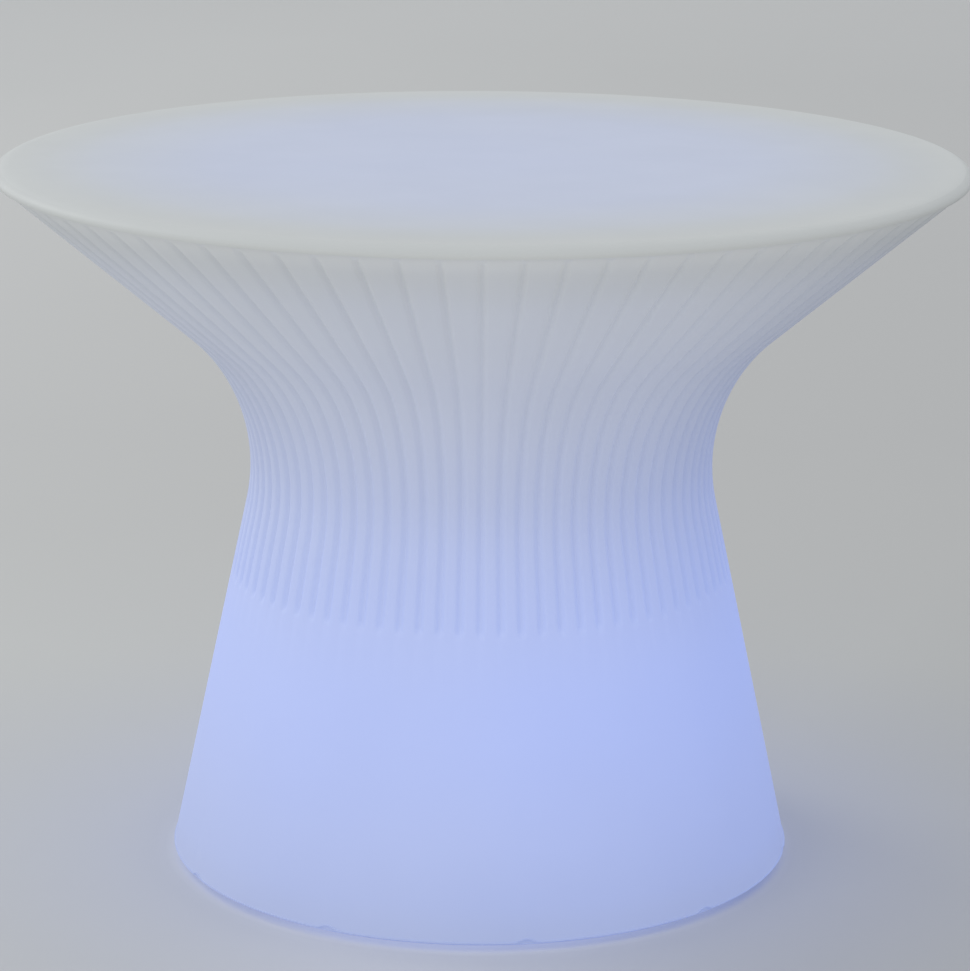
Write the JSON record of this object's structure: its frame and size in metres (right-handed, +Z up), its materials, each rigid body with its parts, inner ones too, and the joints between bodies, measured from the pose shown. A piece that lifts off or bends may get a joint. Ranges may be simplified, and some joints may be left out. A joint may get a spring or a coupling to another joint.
{
  "type": "light up side table",
  "caption": "Round flared side table in milky moulded plastic, fluted sides and narrow waist, lit from inside by a battery light unit in its base.",
  "frame": {"origin": "middle of the circle that the feet stand on, at floor level", "axes": "+Z up along the table's axis, the front that the picture shows towards -Y, +X to its right"},
  "size_m": [0.5999, 0.6, 0.445],
  "materials": {
    "milky_plastic": "satin milky polyethylene, lit from inside",
    "housing_plastic": "fine grained moulded plastic",
    "dark_plastic": "fine grained moulded plastic",
    "opal_plastic": "opal diffuser",
    "clear_plastic": "clear moulded light pipe",
    "foot_rubber": "moulded rubber",
    "seal_foam": "closed cell foam",
    "insert_brass": "turned brass",
    "screw_steel": "zinc plated steel",
    "bezel_metal": "polished metal",
    "plate_aluminium": "sheet with a white solder mask",
    "contact_nickel": "nickel plated sheet",
    "cell_wrap": "shrink wrap",
    "board_laminate": "solder mask over glass laminate",
    "chip_package": "moulded chip with a phosphor window",
    "part_black": "moulded package",
    "lead_cover": "flat insulated lead"
  },
  "bodies": {
    "table": {"body_shell": "milky_plastic", "rubber_feet": "foot_rubber", "unit_inserts": "insert_brass", "unit_gasket": "seal_foam", "unit_cover": "housing_plastic", "cover_screws": "screw_steel", "button_bezel": "bezel_metal", "button_nut": "bezel_metal", "button_spring": "screw_steel", "button_switch": "part_black", "charge_socket": "dark_plastic", "socket_pin": "contact_nickel", "socket_nut": "bezel_metal", "cap_hinge_pin": "screw_steel", "status_lens": "clear_plastic", "battery_cells": "cell_wrap", "battery_holders": "part_black", "battery_contacts": "contact_nickel", "board_pillars": "insert_brass", "driver_board": "board_laminate", "board_screws": "screw_steel", "led_plate": "plate_aluminium", "led_chips": "chip_package", "remote_receiver": "part_black", "dome_seal": "seal_foam", "diffuser_dome": "opal_plastic", "dome_screws": "screw_steel", "board_parts": "part_black", "lead_headers": "housing_plastic", "led_lead": "lead_cover", "socket_lead": "lead_cover", "switch_lead": "lead_cover", "battery_leads": "lead_cover"},
    "button": {"power_button": "bezel_metal"},
    "cap": {"socket_cap": "foot_rubber"}
  },
  "joints": [
    {"name": "button_press", "type": "slide", "parent": "table", "child": "button", "axis": [0, 0, 1], "range_m": [0, 0.0015], "stiffness_N_per_m": 600, "deforming": ["button_spring"]},
    {"name": "cap_swing", "type": "hinge", "parent": "table", "child": "cap", "pos_m": [0.028, 0, 0.0258], "axis": [0, -1, 0], "range_deg": [0, 110]}
  ]
}
